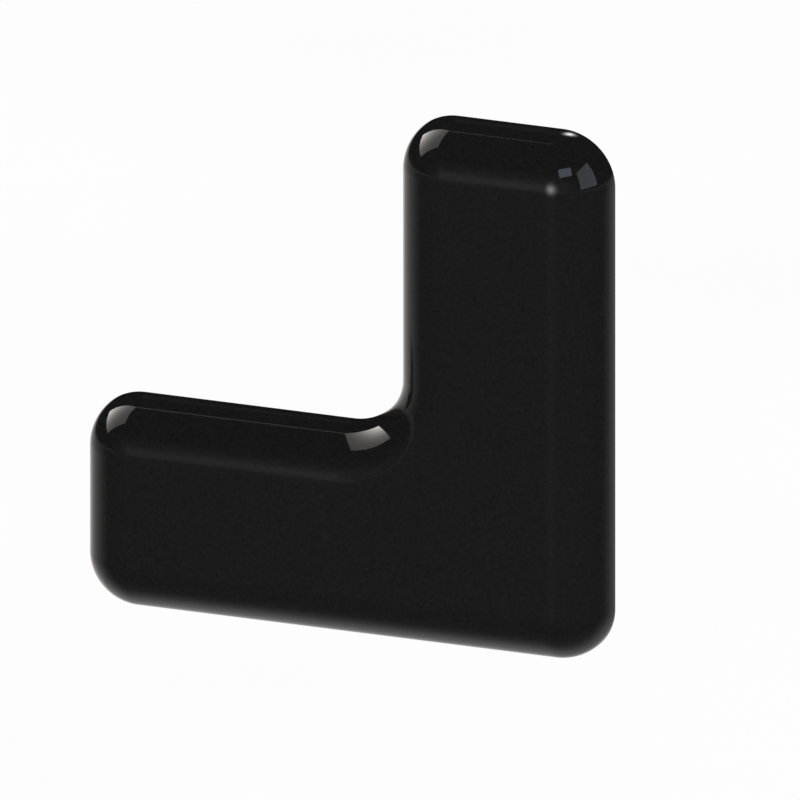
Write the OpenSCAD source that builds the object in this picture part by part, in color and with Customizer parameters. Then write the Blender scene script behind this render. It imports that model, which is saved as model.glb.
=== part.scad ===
// Corner end cap that closes the sawn end of an L-shaped aluminium profile.
// One injection moulding: a glossy cover with a quarter-round front edge, cored out behind,
// and three split pegs that are driven into the bores of the profile.
// The L stands upright as it is seen on the profile. The cover faces -Y, the pegs point to +Y
// and the origin is on the axis of the corner peg, in the plane that seats on the profile.

/* [Cover] */
// Length of the lower leg, over the outer corner
leg_x = 40; // [36:1:80]
// Length of the upright leg, over the outer corner
leg_z = 40; // [36:1:80]
// Width of both legs
leg_w = 16; // [15:0.5:20]
// Thickness of the cover, from the seat to the front face
cover_t = 4; // [3:0.5:6]
// Radius of the outer corners, seen from the front
corner_r = 4; // [3:0.5:5]
// Radius of the inner corner, seen from the front
inner_r = 4; // [2:0.5:6]
// Radius of the round that runs along the whole front edge
edge_r = 4; // [2:0.5:6]

/* [Back] */
// Thickness of the skin that is left behind the front face
skin_t = 2; // [1.5:0.25:2.5]
// Width of the rim that seats on the profile
rim_w = 2.5; // [2:0.25:3]
// Thickness of the ribs between the rim and the pegs
rib_t = 1.2; // [0.8:0.1:2]
// Wall of the round boss at the root of each peg
boss_wall = 1.2; // [0.8:0.1:1.6]

/* [Pegs] */
// Diameter of the pegs, which is that of the bores they are driven into
peg_d = 6; // [5:0.1:7]
// Length of the pegs behind the seat
peg_l = 10; // [8:0.5:16]
// Distance of the outer pegs from the ends of the legs
peg_inset = 8; // [7.5:0.5:10]
// Length of the taper that leads each peg into its bore
taper_l = 1.5; // [0.5:0.25:2.5]
// Diameter at the tip of the taper
tip_d = 4.6; // [4:0.1:4.8]
// Width of the two crossed slots that split each peg
slot_w = 0.8; // [0.4:0.1:1]
// Length of the slots, from the tip
slot_l = 5; // [3:0.5:7]

/* [Hidden] */
$fn = 96;

half_w = leg_w / 2;
round_r = min(edge_r, corner_r, cover_t);
pocket_t = cover_t - skin_t;
left_peg = [half_w + peg_inset - leg_x, 0];
top_peg = [0, leg_z - half_w - peg_inset];
pegs = [[0, 0], left_peg, top_peg];

// The cap is drawn lying on its seat: X to the right, Y up the upright leg, Z out of the front face.

// Corners of the outline that lies corner_r inside the outer one, where the edge round starts
x_left = half_w - leg_x + corner_r;
x_inner = corner_r - half_w;
x_right = half_w - corner_r;
y_bottom = corner_r - half_w;
y_inner = half_w - corner_r;
y_top = leg_z - half_w - corner_r;
inner_centre = [-half_w - inner_r, half_w + inner_r];

// Outline of the cap, drawn at a distance inside its outer edge
module outline(inset) {
    r = max(corner_r - inset, 0);
    reach = half_w - inset;
    leg_outline([inset - leg_x + half_w, -reach], [reach, reach], r);
    leg_outline([-reach, -reach], [reach, leg_z - half_w - inset], r);
    difference() {
        translate([-half_w - inner_r, reach]) square(inner_r + inset);
        translate(inner_centre) circle(r = inner_r + inset);
    }
}

// Rectangle between two corners, with its own corners rounded
module leg_outline(low, high, r) {
    size = high - low;
    translate(low) {
        translate([r, 0]) square([size.x - 2 * r, size.y]);
        translate([0, r]) square([size.x, size.y - 2 * r]);
        if (r > 0) for (x = [r, size.x - r], y = [r, size.y - r]) translate([x, y]) circle(r = r);
    }
}

// Section of the band along the edge: the inner side at 0, the seat below and the round at the top
module edge_section() {
    difference() {
        square([corner_r, cover_t]);
        translate([corner_r - round_r, cover_t - round_r]) difference() {
            square(round_r + 1);
            circle(r = round_r);
        }
    }
}

// Straight band from one point to another, with the outside on its right
module edge_run(from, to) {
    run = to - from;
    translate(to) rotate(atan2(run.y, run.x)) rotate([90, 0, -90]) linear_extrude(norm(run)) edge_section();
}

module outer_corner(at, start) {
    translate(at) rotate_extrude(angle = 90, start = start) edge_section();
}

module inner_corner() {
    translate(inner_centre) rotate_extrude(angle = 90, start = -90)
        translate([inner_r + corner_r, 0]) mirror([1, 0]) edge_section();
}

module cover() {
    linear_extrude(cover_t) outline(corner_r);
    edge_run([x_right, y_bottom], [x_right, y_top]);
    edge_run([x_right, y_top], [x_inner, y_top]);
    edge_run([x_inner, y_top], [x_inner, inner_centre.y]);
    edge_run([inner_centre.x, y_inner], [x_left, y_inner]);
    edge_run([x_left, y_inner], [x_left, y_bottom]);
    edge_run([x_left, y_bottom], [x_right, y_bottom]);
    outer_corner([x_right, y_bottom], -90);
    outer_corner([x_right, y_top], 0);
    outer_corner([x_inner, y_top], 90);
    outer_corner([x_left, y_inner], 90);
    outer_corner([x_left, y_bottom], 180);
    inner_corner();
}

// Ribs and bosses that the pockets go around
module webs() {
    translate([-leg_x, -rib_t / 2]) square([leg_x + half_w, rib_t]);
    translate([-rib_t / 2, -half_w]) square([rib_t, leg_z]);
    translate([left_peg.x - rib_t / 2, -half_w]) square([rib_t, leg_w]);
    translate([-half_w, top_peg.y - rib_t / 2]) square([leg_w, rib_t]);
    for (at = pegs) translate(at) circle(d = peg_d + 2 * boss_wall);
}

module pockets() {
    translate([0, 0, -1]) linear_extrude(pocket_t + 1) difference() {
        outline(rim_w);
        webs();
    }
}

// Peg along -Z, rooted in the skin
module peg() {
    difference() {
        union() {
            translate([0, 0, taper_l - peg_l]) cylinder(d = peg_d, h = peg_l - taper_l + pocket_t + skin_t / 2);
            translate([0, 0, -peg_l]) cylinder(d1 = tip_d, d2 = peg_d, h = taper_l);
        }
        for (turn = [0, 90]) rotate(turn) translate([-peg_d, -slot_w / 2, -peg_l - 1])
            cube([2 * peg_d, slot_w, slot_l + 1]);
    }
}

module end_cap() {
    color("#1b1b1b") rotate([90, 0, 0]) {
        difference() {
            cover();
            pockets();
        }
        for (at = pegs) translate(at) peg();
    }
}

end_cap();
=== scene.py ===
import math

import bmesh
import bpy
from mathutils import Matrix, Vector


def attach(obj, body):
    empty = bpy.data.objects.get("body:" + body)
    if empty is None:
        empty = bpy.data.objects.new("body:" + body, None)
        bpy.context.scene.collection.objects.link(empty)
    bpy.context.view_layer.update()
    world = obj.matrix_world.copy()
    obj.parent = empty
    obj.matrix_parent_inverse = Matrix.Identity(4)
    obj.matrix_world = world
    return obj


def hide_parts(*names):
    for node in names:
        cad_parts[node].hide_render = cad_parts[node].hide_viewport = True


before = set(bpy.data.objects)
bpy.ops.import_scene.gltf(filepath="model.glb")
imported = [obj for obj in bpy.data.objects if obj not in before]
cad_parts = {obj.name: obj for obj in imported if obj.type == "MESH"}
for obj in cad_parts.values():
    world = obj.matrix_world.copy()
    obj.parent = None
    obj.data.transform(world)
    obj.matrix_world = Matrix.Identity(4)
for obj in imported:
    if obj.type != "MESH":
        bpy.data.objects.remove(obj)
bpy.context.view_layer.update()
mm = 0.001


def srgbToLinear(hexColor):  # from a hex colour to the linear values that the shaders take
    channels = [int(hexColor[i:i + 2], 16) / 255 for i in (1, 3, 5)]
    return [c / 12.92 if c <= 0.04045 else ((c + 0.055) / 1.055) ** 2.4 for c in channels] + [1.0]


def addNode(tree, kind, settings={}, links={}):
    # a key is the name or number of a socket, and in settings also the name of a node property
    node = tree.nodes.new(kind)
    for key, value in settings.items():
        if isinstance(key, int) or key in node.inputs:
            node.inputs[key].default_value = value
        else:
            setattr(node, key, value)
    for key, source in links.items():
        tree.links.new(source, node.inputs[key])
    return node


def newMaterial(name):
    material = bpy.data.materials.new(name)
    material.use_nodes = True
    material.node_tree.nodes.clear()
    return material, material.node_tree


def newObject(name, bm):
    bmesh.ops.recalc_face_normals(bm, faces=bm.faces[:])
    mesh = bpy.data.meshes.new(name)
    bm.to_mesh(mesh)
    bm.free()
    made = bpy.data.objects.new(name, mesh)
    bpy.context.scene.collection.objects.link(made)
    return made


def combine(target, tool, operation):  # boolean that is applied at once
    boolean = target.modifiers.new(operation, "BOOLEAN")
    boolean.operation = operation
    boolean.solver = "EXACT"
    boolean.object = tool
    result = bpy.data.meshes.new_from_object(target.evaluated_get(bpy.context.evaluated_depsgraph_get()))
    target.modifiers.clear()
    target.data = result
    bpy.data.objects.remove(tool)


# all lengths of the cap are in mm; the L lies in x and z, its face looks to -y and the pegs point to +y
cap = {
    "legX": 40, "legZ": 40, "legWidth": 16, "thickness": 4,
    "cornerRadius": 4, "innerRadius": 4, "edgeRadius": 4,
    "skin": 2, "rimWidth": 2.5, "ribThickness": 1.2, "bossWall": 1.2,
    "pegDiameter": 6, "pegLength": 10, "pegInset": 8,
    "taperLength": 1.5, "tipDiameter": 4.6, "slotWidth": 0.8, "slotLength": 5,
    "cornerSteps": 48, "edgeSteps": 48, "pegSteps": 96,  # faces round a corner, the edge and a peg
    "pegRoot": 1.5,  # how deep a peg reaches into its boss, so that they join
}


def capOutline():
    # points of the outer edge with their outward normals, once round the L
    half = cap["legWidth"] / 2
    left, top = half - cap["legX"], cap["legZ"] - half
    r, inner = cap["cornerRadius"], cap["innerRadius"]
    corners = [
        ((half - r, -half + r), -90, 0, r),
        ((half - r, top - r), 0, 90, r),
        ((-half + r, top - r), 90, 180, r),
        ((-half - inner, half + inner), 0, -90, -inner),
        ((left + r, half - r), 90, 180, r),
        ((left + r, -half + r), 180, 270, r),
    ]
    outline = []
    for centre, start, end, radius in corners:
        for i in range(cap["cornerSteps"] + 1):
            a = math.radians(start + (end - start) * i / cap["cornerSteps"])
            ray = Vector((math.cos(a), math.sin(a)))
            normal = ray if radius > 0 else -ray
            outline.append((Vector(centre) + normal * radius, normal))
    return outline


def inset(outline, distance):
    return [point - normal * distance for point, normal in outline]


def place(point, y):  # from the drawing of the L, in mm, to the scene
    return Vector((point[0], y, point[1])) * mm


def prism(name, loop, yFrom, yTo):
    bm = bmesh.new()
    near = [bm.verts.new(place(p, yFrom)) for p in loop]
    far = [bm.verts.new(place(p, yTo)) for p in loop]
    for i in range(len(loop)):
        k = (i + 1) % len(loop)
        bm.faces.new((near[i], near[k], far[k], far[i]))
    bm.faces.new(near)
    bm.faces.new(far[::-1])
    return newObject(name, bm)


def slab(name, xFrom, xTo, zFrom, zTo, yFrom, yTo):
    return prism(name, [(xFrom, zFrom), (xTo, zFrom), (xTo, zTo), (xFrom, zTo)], yFrom, yTo)


def turned(name, centre, profile):
    # profile is a list of radius and y, from one end to the other
    bm = bmesh.new()
    rings = []
    for radius, y in profile:
        ring = []
        for i in range(cap["pegSteps"]):
            a = 2 * math.pi * i / cap["pegSteps"]
            ring.append(bm.verts.new(place((centre[0] + radius * math.cos(a), centre[1] + radius * math.sin(a)), y)))
        rings.append(ring)
    for low, high in zip(rings, rings[1:]):
        for i in range(len(low)):
            k = (i + 1) % len(low)
            bm.faces.new((low[i], low[k], high[k], high[i]))
    bm.faces.new(rings[0])
    bm.faces.new(rings[-1][::-1])
    return newObject(name, bm)


def buildCover(outline):
    # the quarter round is swept along the outline, then closed by the flat front and back
    bm = bmesh.new()
    rings = []
    for i in range(cap["edgeSteps"] + 1):
        a = math.pi / 2 * i / cap["edgeSteps"]
        y = -cap["edgeRadius"] * math.sin(a) - cap["thickness"] + cap["edgeRadius"]
        loop = inset(outline, cap["edgeRadius"] * (1 - math.cos(a)))
        rings.append([bm.verts.new(place(p, y)) for p in loop])
    for low, high in zip(rings, rings[1:]):
        for i in range(len(low)):
            k = (i + 1) % len(low)
            bm.faces.new((low[i], low[k], high[k], high[i]))
    bm.faces.new(rings[0])
    bm.faces.new(rings[-1][::-1])
    bmesh.ops.remove_doubles(bm, verts=bm.verts[:], dist=1e-7)
    return newObject("cap", bm)


def pegCentres():
    reach = cap["legWidth"] / 2 + cap["pegInset"]
    return [(0, 0), (reach - cap["legX"], 0), (0, cap["legZ"] - reach)]


def buildPockets(outline):
    half, rib = cap["legWidth"] / 2, cap["ribThickness"] / 2
    floorY = cap["skin"] - cap["thickness"]
    pockets = prism("pockets", inset(outline, cap["rimWidth"]), floorY, 1)
    corner, left, top = pegCentres()
    ribs = [
        (-cap["legX"], half, -rib, rib),
        (-rib, rib, -half, cap["legZ"]),
        (left[0] - rib, left[0] + rib, -half, half),
        (-half, half, top[1] - rib, top[1] + rib),
    ]
    for i, (xFrom, xTo, zFrom, zTo) in enumerate(ribs):
        combine(pockets, slab("rib%d" % i, xFrom, xTo, zFrom, zTo, floorY - 1, 2), "DIFFERENCE")
    bossRadius = cap["pegDiameter"] / 2 + cap["bossWall"]
    for centre in (corner, left, top):
        boss = turned("boss", centre, [(bossRadius, floorY - 1), (bossRadius, 2)])
        combine(pockets, boss, "DIFFERENCE")
    return pockets


def buildPeg(centre):
    radius, tip = cap["pegDiameter"] / 2, cap["tipDiameter"] / 2
    length, half = cap["pegLength"], cap["slotWidth"] / 2
    peg = turned("peg", centre, [(radius, -cap["pegRoot"]), (radius, length - cap["taperLength"]), (tip, length)])
    x, z = centre
    split = length - cap["slotLength"]
    combine(peg, slab("slotX", x - radius * 2, x + radius * 2, z - half, z + half, split, length + 1), "DIFFERENCE")
    combine(peg, slab("slotZ", x - half, x + half, z - radius * 2, z + radius * 2, split, length + 1), "DIFFERENCE")
    return peg


def buildCap():
    outline = capOutline()
    made = buildCover(outline)
    combine(made, buildPockets(outline), "DIFFERENCE")
    for centre in pegCentres():
        combine(made, buildPeg(centre), "UNION")
    mesh = made.data
    mesh.name = "cap"
    mesh.shade_smooth()
    mesh.set_sharp_from_angle(angle=math.radians(30))
    smooth = made.modifiers.new("faceWeightedNormals", "WEIGHTED_NORMAL")
    smooth.keep_sharp = True
    return made


plastic = {
    "dark": "#0d0d0d", "light": "#1f1f1f",
    "grain": 0.28,  # mm; real pigment is far finer, this is as coarse as it needs to show
    "cloud": 7, "cloudShare": 0.1,  # mm, and its share in the colour
    "roughLow": 0.03, "roughHigh": 0.06,
    "peel": 1.6, "peelHeight": 0.0006,  # mm
    "ior": 1.53,  # polyamide
    "specular": 0.065,  # matched: the real cap stays black although pale surroundings mirror in it
}


def mouldedNylon():
    # polyamide, injection moulded in a polished tool: a black, mirror-like skin with a fine speckle
    # of pigment, a faint flow cloud and a trace of orange peel
    material, tree = newMaterial("mouldedBlackNylon")
    spot = addNode(tree, "ShaderNodeTexCoord").outputs["Object"]
    cloud = addNode(tree, "ShaderNodeTexNoise", {"Scale": 1000 / plastic["cloud"], "Detail": 3.0}, {"Vector": spot})
    grain = addNode(tree, "ShaderNodeTexNoise", {"Scale": 1000 / plastic["grain"], "Detail": 2.0}, {"Vector": spot})
    speckle = addNode(
        tree, "ShaderNodeMix", {"Factor": plastic["cloudShare"]}, {2: grain.outputs["Fac"], 3: cloud.outputs["Fac"]},
    )
    color = addNode(
        tree, "ShaderNodeMix",
        {"data_type": "RGBA", 6: srgbToLinear(plastic["dark"]), 7: srgbToLinear(plastic["light"])},
        {"Factor": speckle.outputs[0]},
    )
    rough = addNode(
        tree, "ShaderNodeMapRange",
        {"To Min": plastic["roughLow"], "To Max": plastic["roughHigh"]}, {"Value": grain.outputs["Fac"]},
    )
    peel = addNode(tree, "ShaderNodeTexNoise", {"Scale": 1000 / plastic["peel"], "Detail": 1.0}, {"Vector": spot})
    bump = addNode(
        tree, "ShaderNodeBump", {"Distance": plastic["peelHeight"] * mm}, {"Height": peel.outputs["Fac"]},
    )
    shader = addNode(
        tree, "ShaderNodeBsdfPrincipled",
        {"IOR": plastic["ior"], "Specular IOR Level": plastic["specular"]},
        {"Base Color": color.outputs[2], "Roughness": rough.outputs["Result"], "Normal": bump.outputs["Normal"]},
    )
    addNode(tree, "ShaderNodeOutputMaterial", {}, {"Surface": shader.outputs["BSDF"]})
    return material


capPiece = buildCap()
capPiece.data.materials.append(mouldedNylon())
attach(capPiece, "root")
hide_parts("end_cap")
print("cap:", len(capPiece.data.polygons), "faces")


# metres, but the mottle in mm; the cap is held, so the board lies well below it
board = {
    "size": 400, "drop": 0.45, "color": "#fefefe", "shade": "#fcfcfc", "mottle": 40, "rough": 0.95,
    "litAt": (0.5, -3.5), "litTo": 5.5, "darkFrom": 10.0,  # white up to litTo from this point, black from darkFrom
}


def paintedBoard():
    # matt white painted board, rolled on: even, with a faint mottle; far off its colour is painted dark, painted shade
    # for the light running out
    material, tree = newMaterial("paintedBoard")
    spot = addNode(tree, "ShaderNodeTexCoord").outputs["Object"]
    mottle = addNode(tree, "ShaderNodeTexNoise", {"Scale": 1000 / board["mottle"], "Detail": 4.0}, {"Vector": spot})
    paint = addNode(
        tree, "ShaderNodeMix",
        {"data_type": "RGBA", 6: srgbToLinear(board["shade"]), 7: srgbToLinear(board["color"])},
        {"Factor": mottle.outputs["Fac"]},
    )
    # far off the colour goes to black, a painted falloff of the light, or the top edges would mirror a pale horizon
    away = addNode(
        tree, "ShaderNodeVectorMath", {"operation": "DISTANCE", 1: (*board["litAt"], 0)}, {0: spot},
    )
    lit = addNode(
        tree, "ShaderNodeMapRange",
        {"From Min": board["litTo"], "From Max": board["darkFrom"], "To Min": 1.0, "To Max": 0.0},
        {"Value": away.outputs["Value"]},
    )
    color = addNode(
        tree, "ShaderNodeMix", {"data_type": "RGBA", 6: (0, 0, 0, 1)},
        {"Factor": lit.outputs["Result"], 7: paint.outputs[2]},
    )
    shader = addNode(
        tree, "ShaderNodeBsdfPrincipled", {"Roughness": board["rough"], "Specular IOR Level": 0.0},
        {"Base Color": color.outputs[2]},
    )
    addNode(tree, "ShaderNodeOutputMaterial", {}, {"Surface": shader.outputs["BSDF"]})
    return material


def buildFloor():
    bm = bmesh.new()
    bmesh.ops.create_grid(bm, x_segments=8, y_segments=8, size=board["size"] / 2)
    floor = newObject("floor", bm)
    floor.location.z = -board["drop"]
    floor.data.materials.append(paintedBoard())


buildFloor()
print("floor: done")


# a grey flag on the board, which only the gloss sees: a painted reflection that keeps the front of the cap dark, and
# its soft edge is where the light rims along the cap's edges begin; metres
flag = {
    "size": (6.4, 5.5), "centre": (0.0, -1.25), "lift": 0.01, "white": "#fdfdfd", "near": "#7c7c7c", "far": "#b5b5b5",
    "across": (0.400, -0.917),  # runs from the white edge over the grey
    "edge": 0.053, "darkest": 0.30, "palest": 1.10,  # how far along it these lie
    "softness": 0.4,  # width of the edge, as seen from 1 m
}


def glossOnlyReflectionCard():
    # a card only the gloss sees, grey, paler towards one side, with a soft white edge: a painted reflection on the cap;
    # fully matt
    material, tree = newMaterial("glossOnlyReflectionCard")
    spot = addNode(tree, "ShaderNodeTexCoord").outputs["Object"]
    along = addNode(
        tree, "ShaderNodeVectorMath", {"operation": "DOT_PRODUCT", 1: (*flag["across"], 0)}, {0: spot},
    )
    blend = addNode(
        tree, "ShaderNodeMapRange", {"From Min": flag["darkest"], "From Max": flag["palest"]},
        {"Value": along.outputs["Value"]},
    )
    grey = addNode(
        tree, "ShaderNodeMix",
        {"data_type": "RGBA", 6: srgbToLinear(flag["near"]), 7: srgbToLinear(flag["far"])},
        {"Factor": blend.outputs["Result"]},
    )
    # the distance past the edge is divided by the distance from the cap, so that from there
    # the edge looks equally soft everywhere
    fromCap = addNode(tree, "ShaderNodeVectorMath", {"operation": "LENGTH"}, {0: spot})
    past = addNode(tree, "ShaderNodeMath", {"operation": "SUBTRACT", 1: flag["edge"]}, {0: along.outputs["Value"]})
    seen = addNode(
        tree, "ShaderNodeMath", {"operation": "DIVIDE"}, {0: past.outputs["Value"], 1: fromCap.outputs["Value"]},
    )
    # the soft white edge of the painted reflection
    paintedReflectionEdge = addNode(
        tree, "ShaderNodeMapRange", {"From Min": -flag["softness"], "From Max": 0.0}, {"Value": seen.outputs["Value"]},
    )
    color = addNode(
        tree, "ShaderNodeMix", {"data_type": "RGBA", 6: srgbToLinear(flag["white"])},
        {"Factor": paintedReflectionEdge.outputs["Result"], 7: grey.outputs[2]},
    )
    shader = addNode(
        tree, "ShaderNodeBsdfPrincipled", {"Roughness": 1.0, "Specular IOR Level": 0.0},
        {"Base Color": color.outputs[2]},
    )
    addNode(tree, "ShaderNodeOutputMaterial", {}, {"Surface": shader.outputs["BSDF"]})
    return material


def buildFlag():
    halfX, halfY = flag["size"][0] / 2, flag["size"][1] / 2
    x, y = flag["centre"]
    corners = [(x - halfX, y - halfY), (x + halfX, y - halfY), (x + halfX, y + halfY), (x - halfX, y + halfY)]
    bm = bmesh.new()
    bm.faces.new([bm.verts.new((*corner, flag["lift"] - board["drop"])) for corner in corners])
    made = newObject("flag", bm)
    made.data.materials.append(glossOnlyReflectionCard())
    made.visible_camera = False
    made.visible_diffuse = False
    made.visible_shadow = False


buildFlag()
print("flag: done")


tent = {"color": "#ffffff", "strength": 1.0}


def buildWorld():
    # a white tent all round: even soft light, and a plain pale background
    world = bpy.data.worlds.new("tent")
    bpy.context.scene.world = world
    world.use_nodes = True
    tree = world.node_tree
    tree.nodes.clear()
    shader = addNode(tree, "ShaderNodeBackground", {"Color": srgbToLinear(tent["color"]), "Strength": tent["strength"]})
    addNode(tree, "ShaderNodeOutputWorld", {}, {"Surface": shader.outputs["Background"]})
    world.cycles_visibility.glossy = False  # the gloss sees only the lamps, the board and the flag


# lamps that only the gloss sees: direction from the cap, turn in degrees, size as seen from 1 m,
# radiance of the even part and of the hot spot, place and width of that spot across the lamp
lampBase = {"distance": 12.0, "even": 0.0, "hot": 0.0, "hotAt": (0.5, 0.5), "hotWidth": 0.5, "color": "#ffffff"}
lamps = {
    "keyPanel": {  # the soft window in the left and inner corners
        "direction": (-0.740, -0.051, 0.671), "turn": (51.6, 3.5, -112.3), "size": (0.780, 0.828),
        "even": 6.9, "hot": 17.0, "hotAt": (0.0, 0.0), "hotWidth": 0.52, "color": "#fffaf4",
    },
    "rightPanel": {  # the larger bluish patch in the upper right corner
        "direction": (0.888, -0.287, 0.359), "turn": (81.7, -0.3, 96.1), "size": (0.717, 0.735),
        "even": 7.2, "color": "#e9eeff",
    },
    "frontPanel": {  # the smaller one beside it
        "direction": (0.343, -0.716, 0.607), "turn": (46.4, -7.4, 29.9), "size": (0.464, 0.311),
        "even": 12.2, "color": "#dee7ff",
    },
    "backLamp": {  # the bright spot on the top edge
        "direction": (-0.141, 0.716, 0.684), "turn": (-46.9, 0.0, 11.1), "size": (0.5, 0.5),
        "hot": 42.0, "hotWidth": 0.17,
    },
    "frontLamp": {  # the soft spot below the panels; near, or the board would hide its lower half
        "direction": (-0.078, -0.997, 0.026), "distance": 1.5, "turn": (88.5, 0.0, -4.5), "size": (0.8, 0.8),
        "hot": 30.0, "hotWidth": 0.19,
    },
    "frontHaze": {  # the faint lines where the front meets the top rounds
        "direction": (0.050, -0.997, 0.060), "turn": (86.6, 0.0, 2.9), "size": (3.0, 1.3),
        "hot": 1.1, "hotWidth": 0.28,
    },
    "frontGlow": {  # the faint upright line where the front meets the right round
        "direction": (-0.0705, -0.940, -0.333), "distance": 1.0, "turn": (109.5, 0.0, -4.3), "size": (0.8, 0.8),
        "hot": 0.32, "hotWidth": 0.19,
    },
    "underGlow": {  # this one and the next three brighten the rims from below
        "direction": (-0.333, 0.050, -0.942), "distance": 0.33, "turn": (160.4, 0.0, -98.6), "size": (1.7, 1.7),
        "hot": 0.48, "hotWidth": 0.23,
    },
    "cornerGlow": {
        "direction": (0.250, 0.100, -0.963), "distance": 0.33, "turn": (164.4, 0.0, 111.8), "size": (1.7, 1.7),
        "hot": 0.6, "hotWidth": 0.24,
    },
    "leftGlow": {
        "direction": (-0.660, 0.250, -0.710), "distance": 0.3, "turn": (135.2, 0.0, -110.8), "size": (1.5, 1.5),
        "hot": 0.5, "hotWidth": 0.23,
    },
    "rightGlow": {
        "direction": (0.620, 0.360, -0.697), "distance": 0.3, "turn": (134.2, 0.0, 120.1), "size": (1.5, 1.5),
        "hot": 0.6, "hotWidth": 0.22,
    },
    "leftReflector": {  # the warm tint of the left rims
        "direction": (-0.790, 0.400, -0.464), "distance": 0.7, "turn": (-117.6, 0.0, 63.1), "size": (2.0, 1.2),
        "hot": 0.55, "hotWidth": 0.30, "color": "#ffe9d6",
    },
}
lampCentre = Vector((0, 0, 12)) * mm  # the middle of the cap, which the directions start from


def buildLamp(name, values):
    lamp = bpy.data.lights.new(name, "AREA")
    lamp.shape = "RECTANGLE"
    lamp.size, lamp.size_y = [size * values["distance"] for size in values["size"]]
    lamp.energy = math.pi * lamp.size * lamp.size_y  # a radiance of 1
    lamp.color = srgbToLinear(values["color"])[:3]
    lamp.use_nodes = True
    tree = lamp.node_tree
    tree.nodes.clear()
    # even light plus a hot spot that falls off like a bell curve
    across = addNode(tree, "ShaderNodeNewGeometry").outputs["Parametric"]
    away = addNode(
        tree, "ShaderNodeVectorMath", {"operation": "DISTANCE", 1: (*values["hotAt"], 0)}, {0: across},
    )
    share = addNode(tree, "ShaderNodeMath", {"operation": "DIVIDE", 1: values["hotWidth"]}, {0: away.outputs["Value"]})
    square = addNode(
        tree, "ShaderNodeMath", {"operation": "MULTIPLY"}, {0: share.outputs["Value"], 1: share.outputs["Value"]},
    )
    fall = addNode(tree, "ShaderNodeMath", {"operation": "POWER", 0: 1 / math.e}, {1: square.outputs["Value"]})
    strength = addNode(
        tree, "ShaderNodeMapRange",
        {"clamp": False, "To Min": values["even"], "To Max": values["even"] + values["hot"]},
        {"Value": fall.outputs["Value"]},
    )
    shader = addNode(tree, "ShaderNodeEmission", {}, {"Strength": strength.outputs["Result"]})
    addNode(tree, "ShaderNodeOutputLight", {}, {"Surface": shader.outputs["Emission"]})
    made = bpy.data.objects.new(name, lamp)
    made.location = lampCentre + Vector(values["direction"]).normalized() * values["distance"]
    made.rotation_euler = [math.radians(a) for a in values["turn"]]
    made.visible_camera = False
    made.visible_diffuse = False
    bpy.context.scene.collection.objects.link(made)


def buildLight():
    buildWorld()
    for name, values in lamps.items():
        buildLamp(name, {**lampBase, **values})


buildLight()
print("light:", len(lamps), "lamps")


shot = {
    "turn": 20.705, "rise": 19.471,  # degrees right of the front, and above it
    "pixels": 800, "pixelsPerMm": 13.947,
    "anchor": (8, -4, -8), "anchorPixel": (595.61, 678.78),  # a point in mm, and where the picture shows it
    "distance": 0.4, "clip": (0.01, 100),
}


def buildCamera():
    turn, rise = math.radians(shot["turn"]), math.radians(shot["rise"])
    right = Vector((math.cos(turn), math.sin(turn), 0))
    back = Vector((math.sin(turn) * math.cos(rise), -math.cos(turn) * math.cos(rise), math.sin(rise)))
    up = back.cross(right)
    pixel, middle = mm / shot["pixelsPerMm"], shot["pixels"] / 2
    across, down = shot["anchorPixel"]
    centre = Vector(shot["anchor"]) * mm - right * (across - middle) * pixel - up * (middle - down) * pixel
    data = bpy.data.cameras.new("camera")
    data.type = "ORTHO"
    data.ortho_scale = shot["pixels"] * pixel
    data.clip_start, data.clip_end = shot["clip"]
    camera = bpy.data.objects.new("camera", data)
    turnMatrix = Matrix((right, up, back)).transposed().to_4x4()
    camera.matrix_world = Matrix.Translation(centre + back * shot["distance"]) @ turnMatrix
    bpy.context.scene.collection.objects.link(camera)
    bpy.context.scene.camera = camera


buildCamera()
bpy.context.scene.view_settings.view_transform = "Standard"
print("camera: done")
